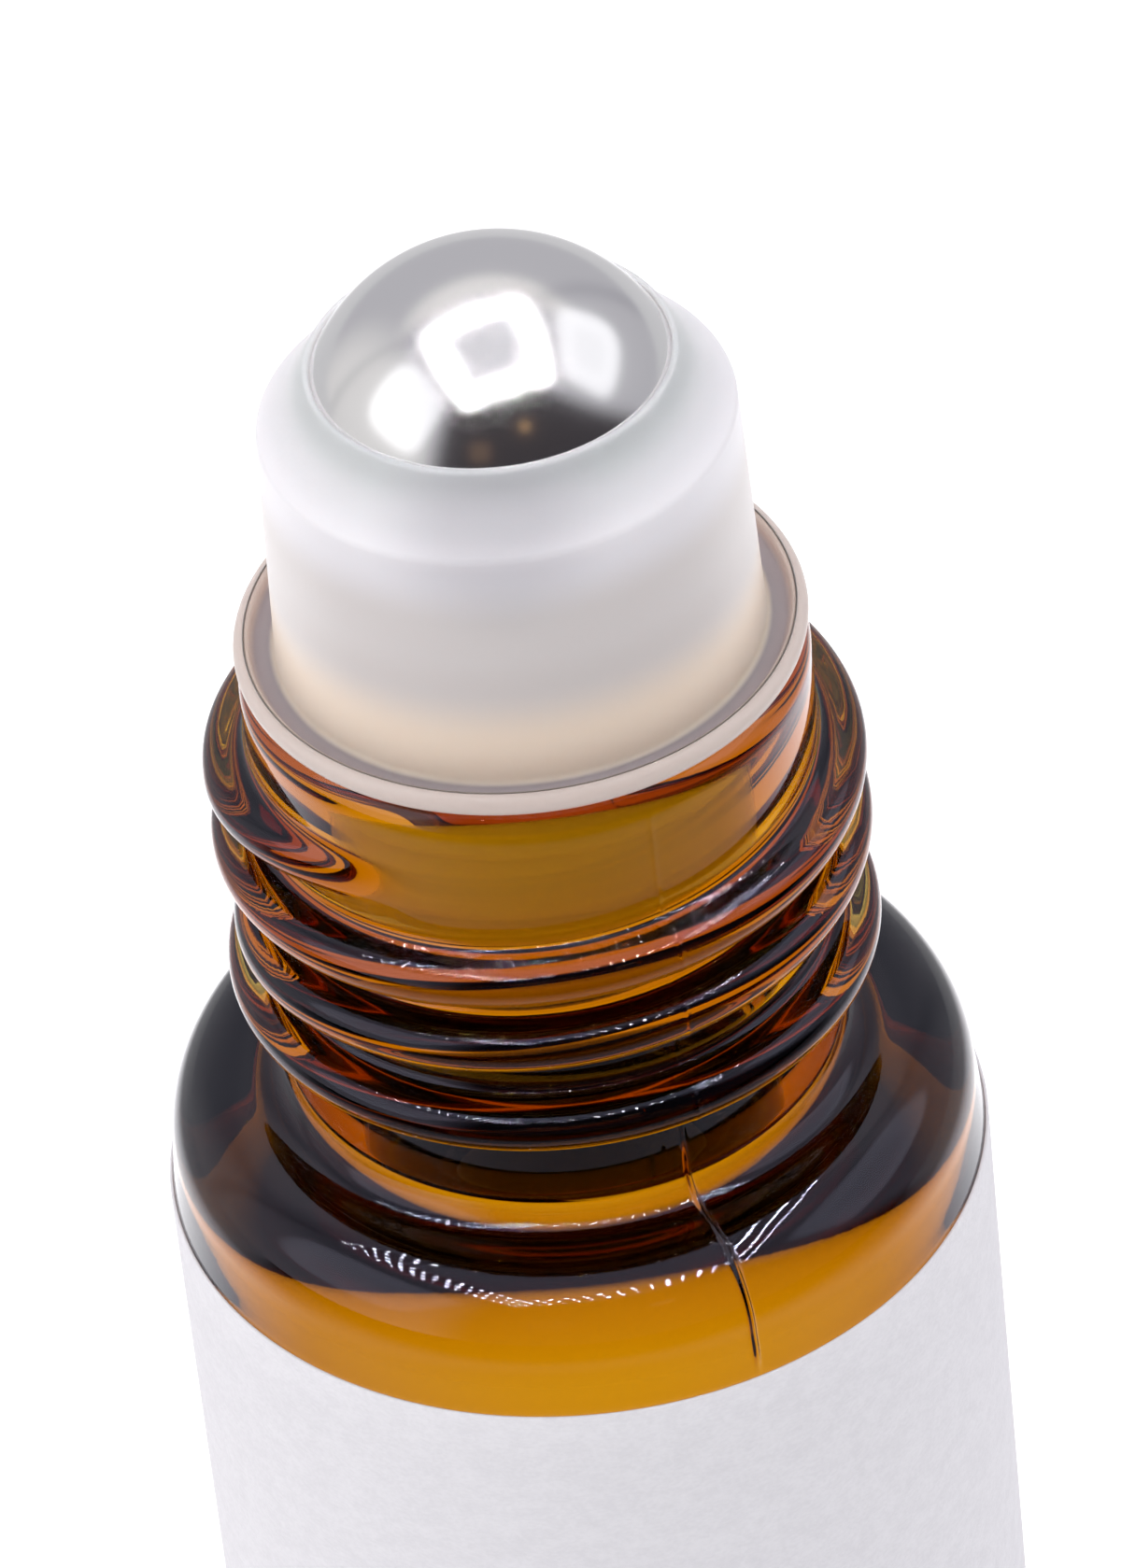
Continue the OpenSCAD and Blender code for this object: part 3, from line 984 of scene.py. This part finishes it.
def light_tent(world, finishes):
    """A light tent as the world: a roof with a square lamp ring, a lit wall on each side, grey walls
    and an open dark front. The camera sees plain white, and a plain backdrop through the glass."""
    world.use_nodes = True
    tree = world.node_tree
    tree.nodes.clear()
    output = tree.nodes.new("ShaderNodeOutputWorld")
    direction = node(tree, "ShaderNodeTexCoord").outputs["Generated"]
    x, y, z = axes_of(direction)
    paths = node(tree, "ShaderNodeLightPath").outputs
    # A ray that glass bends counts as glossy too, and it is no mirror's
    bent = paths["Is Transmission Ray"]
    mirror = calc("SUBTRACT", paths["Is Glossy Ray"], bent, clamp=True)
    ring = lamp_ring(facing(direction, 270, 86, 15), mirror)
    left_glow = lit_wall(facing(direction, 198, 35), 0.37, 0.34)
    right_glow = lit_wall(facing(direction, 8, 38), 0.41, 0.30)
    front, room = open_front(direction, x, y, z, mirror)
    wall = blend_colour(front, tent_walls(x, y, z), room)
    base = blend_colour(step_up(z, 0.80, 0.92), wall, (0.82, 0.81, 0.84))
    lights = plus(ring, plus(left_glow, right_glow))
    lit = node(
        tree, "ShaderNodeMix", {0: 1.0, 6: base, 7: lights}, data_type="RGBA", blend_type="ADD"
    )
    # What a mirror shows is less bright than the light on paper and plastic
    level = minus(finishes.tent, times(mirror, finishes.tent - 1.0))
    tent = node(tree, "ShaderNodeBackground", {"Color": lit.outputs[2], "Strength": level})
    # Through the glass the eye sees the white background low down, and dark above and in front
    low = step_up(z, 0.45, 0.05)
    shown = times(low, step_up(y, -0.35, 0.25))
    through = blend_colour(shown, (0.02, 0.016, 0.02), (1, 1, 1))
    backdrop = node(tree, "ShaderNodeBackground", {"Color": through, "Strength": 1.3})
    by_glass = times(bent, calc("LESS_THAN", paths["Diffuse Depth"], 0.5))
    tent_or_glass = mix_shaders(by_glass, tent.outputs[0], backdrop.outputs[0])
    white = glow(tree, "ShaderNodeBackground", (1, 1, 1), 1.0)
    mixed = mix_shaders(paths["Is Camera Ray"], tent_or_glass, white)
    tree.links.new(mixed, output.inputs["Surface"])


def floor_white():
    """A pale floor that keeps the bottle's shadow. The camera sees it a little brighter than the light
    makes it. Glass sees it as a white glow with a painted shadow under the bottle, and metal sees a glow
    of painted light and shade."""
    material, tree, output = new_material("floor_white")
    paths = node(tree, "ShaderNodeLightPath").outputs
    place = own_place(tree)
    y = axes_of(place)[1]
    diffuse = node(tree, "ShaderNodeBsdfDiffuse", {"Color": (0.8, 0.8, 0.8, 1)})
    emission, white, camera_glow = "ShaderNodeEmission", (1, 1, 1), 0.4
    added = glow(tree, emission, white, times(paths["Is Camera Ray"], camera_glow))
    seen = node(tree, "ShaderNodeAddShader", {0: diffuse.outputs[0], 1: added})
    # Glass shows the floor as a white glow, with a painted shadow where the bottle stands on it
    distance = vector_calc("LENGTH", place)
    glow_with_painted_shadow = times(step_up(distance, 0.009, 0.024), 1.3)
    through = glow(tree, emission, white, glow_with_painted_shadow)
    # Painted light for mirrors: a glow that is white behind the bottle, grey beside it and far off, dark
    # towards the room
    painted_side_light = times(step_up(y, -0.15, -0.02), 0.45)
    level = plus(painted_side_light, times(step_up(y, -0.03, 0.06), 1.4))
    painted_falloff = minus(1.0, times(step_up(distance, 0.09, 0.20), 0.62))
    mirrored_painted_light = glow(tree, emission, (0.99, 0.98, 1), times(level, painted_falloff))
    eye = calc("LESS_THAN", paths["Diffuse Depth"], 0.5)
    by_glass = times(paths["Is Transmission Ray"], eye)
    by_mirror = times(paths["Is Glossy Ray"], eye)
    # A ray that glass bends counts as glossy too, so the glass comes last
    shown = mix_shaders(by_mirror, seen.outputs[0], mirrored_painted_light)
    tree.links.new(mix_shaders(by_glass, shown, through), output.inputs["Surface"])
    return material


def make_floor():
    """A flat round floor: (r cos a, r sin a, 0) on rings that grow outwards."""
    angles = np.linspace(0, 2 * math.pi, FLOOR_COLUMNS, endpoint=False)
    floor_r, ring_count = 1.6, 8
    radii = floor_r * np.linspace(0, 1, ring_count + 1)[1:] ** 2
    x, y = radii[:, None] * np.cos(angles), radii[:, None] * np.sin(angles)
    rings = np.stack((x, y, np.zeros_like(x)), axis=-1)
    points = np.concatenate((rings.reshape(-1, 3), [[0, 0, 0]]))
    quads = grid_faces(len(radii), len(angles), False, True)[:, ::-1]
    return put_in_mesh("floor", points, quads, fan(len(points) - 1, np.arange(len(angles))))


def make_camera():
    """The photograph's camera: its place, and how far it looks down, aside and leans."""
    place = Vector((0, -199.66 * MM, 234.12 * MM))
    pitch, yaw, roll = (math.radians(a) for a in (39.7115, -0.1499, 6.3644))
    focal_px, tall_px = 11630.8, 1679
    data = bpy.data.cameras.new("camera")
    data.sensor_width = 36
    data.lens = focal_px / tall_px * data.sensor_width
    data.clip_start, data.clip_end = 0.01, 20
    camera = bpy.data.objects.new("camera", data)
    flat = math.cos(pitch)
    forward = Vector((-math.sin(yaw) * flat, math.cos(yaw) * flat, -math.sin(pitch)))
    level = Vector((math.cos(yaw), math.sin(yaw), 0))
    upward = level.cross(forward)
    right = level * math.cos(roll) - upward * math.sin(roll)
    up = upward * math.cos(roll) + level * math.sin(roll)
    turn = Matrix((right, up, -forward)).transposed()
    camera.matrix_world = Matrix.Translation(place) @ turn.to_4x4()
    bpy.context.scene.collection.objects.link(camera)
    bpy.context.scene.camera = camera


class ROLLON_OT_bottle(bpy.types.Operator):
    """Makes the amber glass bottle with its thread, bead and mould seams"""

    bl_idname = "rollon.bottle"
    bl_label = "Glass bottle"

    def execute(self, context):
        piece = make_bottle(context.scene.rollon_glass)
        dress(piece, amber_glass(context.scene.rollon_finishes), "container", "bottle")
        return {"FINISHED"}


class ROLLON_OT_liquid(bpy.types.Operator):
    """Makes the liquid that fills the bottle up to the foot of its neck"""

    bl_idname = "rollon.liquid"
    bl_label = "Liquid"

    def execute(self, context):
        piece = make_liquid(context.scene.rollon_glass)
        piece.data.materials.append(clear_liquid())
        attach(piece, "container")
        return {"FINISHED"}


class ROLLON_OT_fitment(bpy.types.Operator):
    """Makes the white fitment that is pressed into the neck and holds the ball"""

    bl_idname = "rollon.fitment"
    bl_label = "Roller fitment"

    def execute(self, context):
        piece = make_housing(context.scene.rollon_fitment)
        material = white_plastic(context.scene.rollon_finishes)
        dress(piece, material, "container", "roller_housing")
        return {"FINISHED"}


class ROLLON_OT_ball(bpy.types.Operator):
    """Makes the steel ball"""

    bl_idname = "rollon.ball"
    bl_label = "Ball"

    def execute(self, context):
        dress(make_ball(), ball_steel(context.scene.rollon_finishes), "roller", "ball")
        return {"FINISHED"}


class ROLLON_OT_label(bpy.types.Operator):
    """Makes the bare paper label"""

    bl_idname = "rollon.label"
    bl_label = "Label"

    def execute(self, context):
        piece = make_label(context.scene.rollon_label)
        dress(piece, label_paper(context.scene.rollon_finishes), "container", "label")
        return {"FINISHED"}


class ROLLON_OT_stage(bpy.types.Operator):
    """Makes the floor, the light tent and the camera"""

    bl_idname = "rollon.stage"
    bl_label = "Stage"

    def execute(self, context):
        scene = context.scene
        floor = make_floor()
        floor.data.materials.append(floor_white())
        scene.world = bpy.data.worlds.new("light_tent")
        light_tent(scene.world, scene.rollon_finishes)
        make_camera()
        scene.view_settings.view_transform = "Standard"
        scene.cycles.use_denoising = True
        for kind in ("max_bounces", "transmission_bounces", "transparent_max_bounces"):
            setattr(scene.cycles, kind, BOUNCES)
        scene.cycles.caustics_refractive = True
        scene.cycles.caustics_reflective = True
        scene.cycles.blur_glossy = 0.5
        scene.cycles.sample_clamp_indirect = 0
        return {"FINISHED"}


class ROLLON_PT_panel(bpy.types.Panel):
    """Lists the pieces, their sizes and their finishes in the sidebar"""

    bl_idname = "ROLLON_PT_panel"
    bl_label = "Roll-on bottle"
    bl_space_type = "VIEW_3D"
    bl_region_type = "UI"
    bl_category = "Roll-on bottle"

    def draw(self, context):
        for operator in OPERATORS:
            self.layout.operator(operator.bl_idname)
        for name, group in GROUPS.items():
            box = self.layout.box()
            box.label(text=group.__doc__)
            for key in group.__annotations__:
                box.prop(getattr(context.scene, name), key)


OPERATORS = (
    ROLLON_OT_bottle,
    ROLLON_OT_liquid,
    ROLLON_OT_fitment,
    ROLLON_OT_ball,
    ROLLON_OT_label,
    ROLLON_OT_stage,
)
CLASSES = (*GROUPS.values(), *OPERATORS, ROLLON_PT_panel)


def register():
    for made in CLASSES:
        bpy.utils.register_class(made)
    for name, group in GROUPS.items():
        setattr(bpy.types.Scene, name, bpy.props.PointerProperty(type=group))


def unregister():
    for name in GROUPS:
        delattr(bpy.types.Scene, name)
    for made in reversed(CLASSES):
        bpy.utils.unregister_class(made)


def main():
    """Makes every piece and the stage."""
    register()
    bpy.ops.rollon.bottle()
    bpy.ops.rollon.liquid()
    bpy.ops.rollon.fitment()
    bpy.ops.rollon.ball()
    bpy.ops.rollon.label()
    bpy.ops.rollon.stage()


if __name__ == "__main__":
    main()
